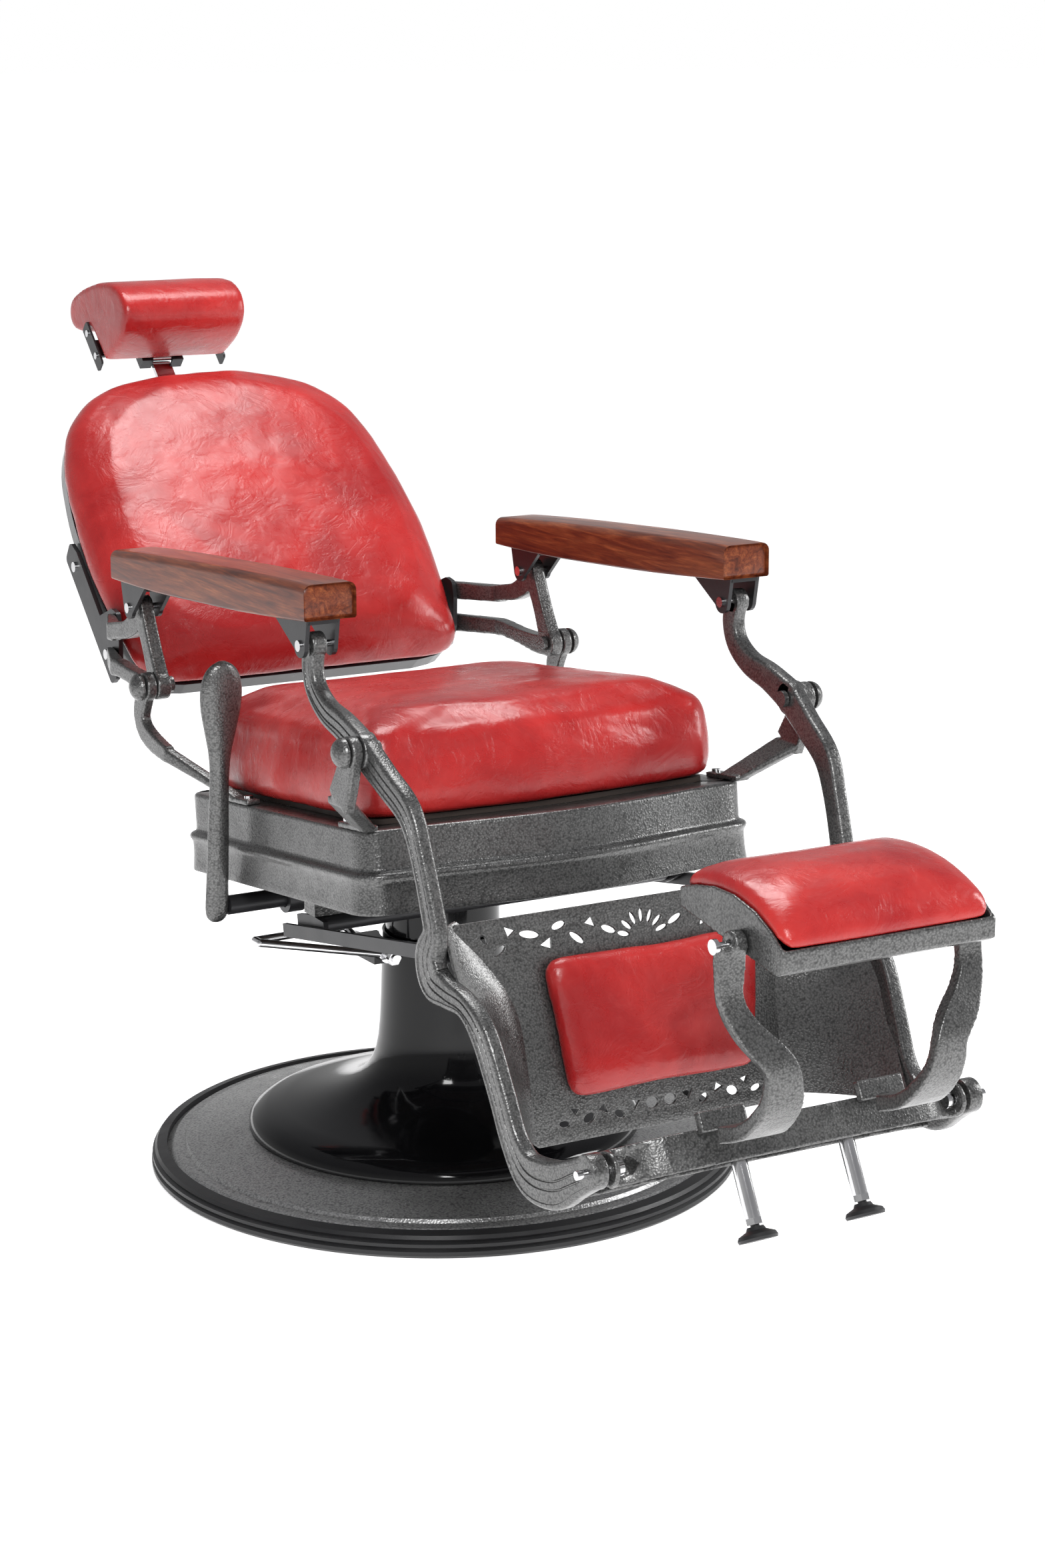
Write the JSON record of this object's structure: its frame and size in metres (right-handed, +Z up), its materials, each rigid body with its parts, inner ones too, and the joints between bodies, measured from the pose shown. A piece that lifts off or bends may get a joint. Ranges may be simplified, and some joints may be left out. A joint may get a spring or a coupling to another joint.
{
  "type": "barber chair",
  "caption": "Reclining hydraulic barber chair with a padded seat, back and headrest, wooden armrests, a pierced leg rest and a folding footrest on a round lifting base.",
  "frame": {"origin": "on the floor, under the axis of the lifting column", "axes": "the sitter faces -Y, +X is the sitter's left, +Z is up"},
  "size_m": [0.7499, 1.9057, 1.0642],
  "materials": {
    "casting": "hammered gunmetal grey enamel",
    "base_casting": "hammered silver-grey enamel",
    "black_enamel": "gloss black enamel",
    "black_steel": "satin black paint",
    "base_rubber": "ribbed black rubber",
    "chrome": "polished",
    "ground_steel": "ground",
    "seat_leather": "glossy creased red upholstery over foam",
    "tread_leather": "glossy red upholstery over foam with a pale piping",
    "armrest_wood": "dark glossy red-brown lacquer",
    "board_wood": "plywood",
    "shell_black": "black shell",
    "foot_rubber": "black rubber foot on a threaded stem"
  },
  "bodies": {
    "base": {"base_plate": "base_casting", "base_ring": "base_rubber", "bell_cover": "black_enamel", "pump_cylinder": "ground_steel", "cylinder_gland": "ground_steel", "pedal_bracket": "black_steel", "pedal_axle": "chrome"},
    "pedal": {"pump_pedal": "chrome"},
    "lift": {"ram": "chrome", "lift_sleeve": "black_enamel", "thrust_bearing": "ground_steel"},
    "seat": {"swivel_hub": "casting", "seat_frame": "casting", "seat_board": "board_wood", "seat_cushion": "seat_leather", "front_stanchion_right": "casting", "front_stanchion_left": "casting", "rear_stanchion_right": "casting", "rear_stanchion_left": "casting", "stanchion_bolts": "chrome", "pivot_bolts": "casting", "recline_lock": "black_steel", "lever_bracket": "black_steel"},
    "lever": {"recline_lever": "casting", "lever_shaft": "black_steel"},
    "back": {"back_shell": "shell_black", "back_cushion": "seat_leather", "rear_arm_right": "casting", "rear_arm_left": "casting", "back_plate_right": "black_steel", "back_plate_left": "black_steel", "back_screws": "chrome", "headrest_socket": "black_steel"},
    "headrest_post": {"headrest_bar": "chrome"},
    "headrest": {"headrest_frame": "black_steel", "headrest_cushion": "seat_leather", "headrest_screws": "chrome"},
    "legrest": {"front_arm_right": "casting", "front_arm_left": "casting", "legrest_panel": "casting", "legrest_pad": "seat_leather", "link_bolts": "chrome", "footrest_bolts": "chrome"},
    "armrest_right_side": {"armrest_right": "armrest_wood", "armrest_clevis_right": "black_steel", "clevis_pins_right": "chrome"},
    "armrest_left_side": {"armrest_left": "armrest_wood", "armrest_clevis_left": "black_steel", "clevis_pins_left": "chrome"},
    "link_right": {"recline_link_right": "black_steel"},
    "link_left": {"recline_link_left": "black_steel"},
    "footrest": {"footrest_frame": "casting", "tread_arm_right": "casting", "tread_arm_left": "casting", "leg_tubes": "chrome", "tread_bolts": "chrome"},
    "tread": {"tread_frame": "casting", "tread_pad": "tread_leather"},
    "foot_right": {"levelling_foot_right": "foot_rubber"},
    "foot_left": {"levelling_foot_left": "foot_rubber"}
  },
  "joints": [
    {"name": "pump_stroke", "type": "hinge", "parent": "base", "child": "pedal", "pos_m": [-0.094, 0, 0.284], "axis": [0, -1, 0], "range_deg": [0, 28]},
    {"name": "seat_lift", "type": "slide", "parent": "base", "child": "lift", "axis": [0, 0, 1], "range_m": [0, 0.15]},
    {"name": "seat_swivel", "type": "hinge", "parent": "lift", "child": "seat", "pos_m": [0, 0, 0.39], "axis": [0, 0, 1], "continuous": true},
    {"name": "lock_lever", "type": "hinge", "parent": "seat", "child": "lever", "pos_m": [-0.289, 0.05, 0.355], "axis": [1, 0, 0], "range_deg": [-14, 14]},
    {"name": "back_recline", "type": "hinge", "parent": "seat", "child": "back", "pos_m": [0, 0.215, 0.605], "axis": [-1, 0, 0], "range_deg": [-25, 12]},
    {"name": "legrest_swing", "type": "hinge", "parent": "seat", "child": "legrest", "pos_m": [0, -0.353, 0.628], "axis": [-1, 0, 0], "range_deg": [-21.8, 10.5]},
    {"name": "armrest_right_pivot", "type": "hinge", "parent": "back", "child": "armrest_right_side", "pos_m": [0, 0.262, 0.698], "axis": [-1, 0, 0], "range_deg": [-13.5, 27.8]},
    {"name": "armrest_left_pivot", "type": "hinge", "parent": "back", "child": "armrest_left_side", "pos_m": [0, 0.262, 0.698], "axis": [-1, 0, 0], "range_deg": [-13.5, 27.8]},
    {"name": "link_right_pivot", "type": "hinge", "parent": "legrest", "child": "link_right", "pos_m": [0, -0.478, 0.42], "axis": [-1, 0, 0], "range_deg": [-8.4, 17.3]},
    {"name": "link_left_pivot", "type": "hinge", "parent": "legrest", "child": "link_left", "pos_m": [0, -0.478, 0.42], "axis": [-1, 0, 0], "range_deg": [-8.4, 17.3]},
    {"name": "headrest_height", "type": "slide", "parent": "back", "child": "headrest_post", "axis": [0, 0.7071, 0.7071], "range_m": [-0.02, 0.1]},
    {"name": "headrest_tilt", "type": "hinge", "parent": "headrest_post", "child": "headrest", "pos_m": [0, 0.84786, 0.95078], "axis": [-1, 0, 0], "range_deg": [-12, 20]},
    {"name": "footrest_fold", "type": "hinge", "parent": "legrest", "child": "footrest", "pos_m": [0, -0.768, 0.258], "axis": [1, 0, 0], "range_deg": [0, 12]},
    {"name": "tread_flip", "type": "hinge", "parent": "footrest", "child": "tread", "pos_m": [0, -0.872, 0.513], "axis": [1, 0, 0], "range_deg": [-20, 12]},
    {"name": "foot_right_height", "type": "slide", "parent": "footrest", "child": "foot_right", "axis": [0, -0.454, -0.891], "range_m": [0, 0.03]},
    {"name": "foot_left_height", "type": "slide", "parent": "footrest", "child": "foot_left", "axis": [0, -0.454, -0.891], "range_m": [0, 0.03]}
  ],
  "couplings": [
    {"joint": "legrest_swing", "follows": "back_recline", "ratio": 0.87},
    {"joint": "armrest_right_pivot", "follows": "back_recline", "ratio": -1.107},
    {"joint": "armrest_left_pivot", "follows": "back_recline", "ratio": -1.107},
    {"joint": "link_right_pivot", "follows": "back_recline", "ratio": -0.69},
    {"joint": "link_left_pivot", "follows": "back_recline", "ratio": -0.69}
  ]
}
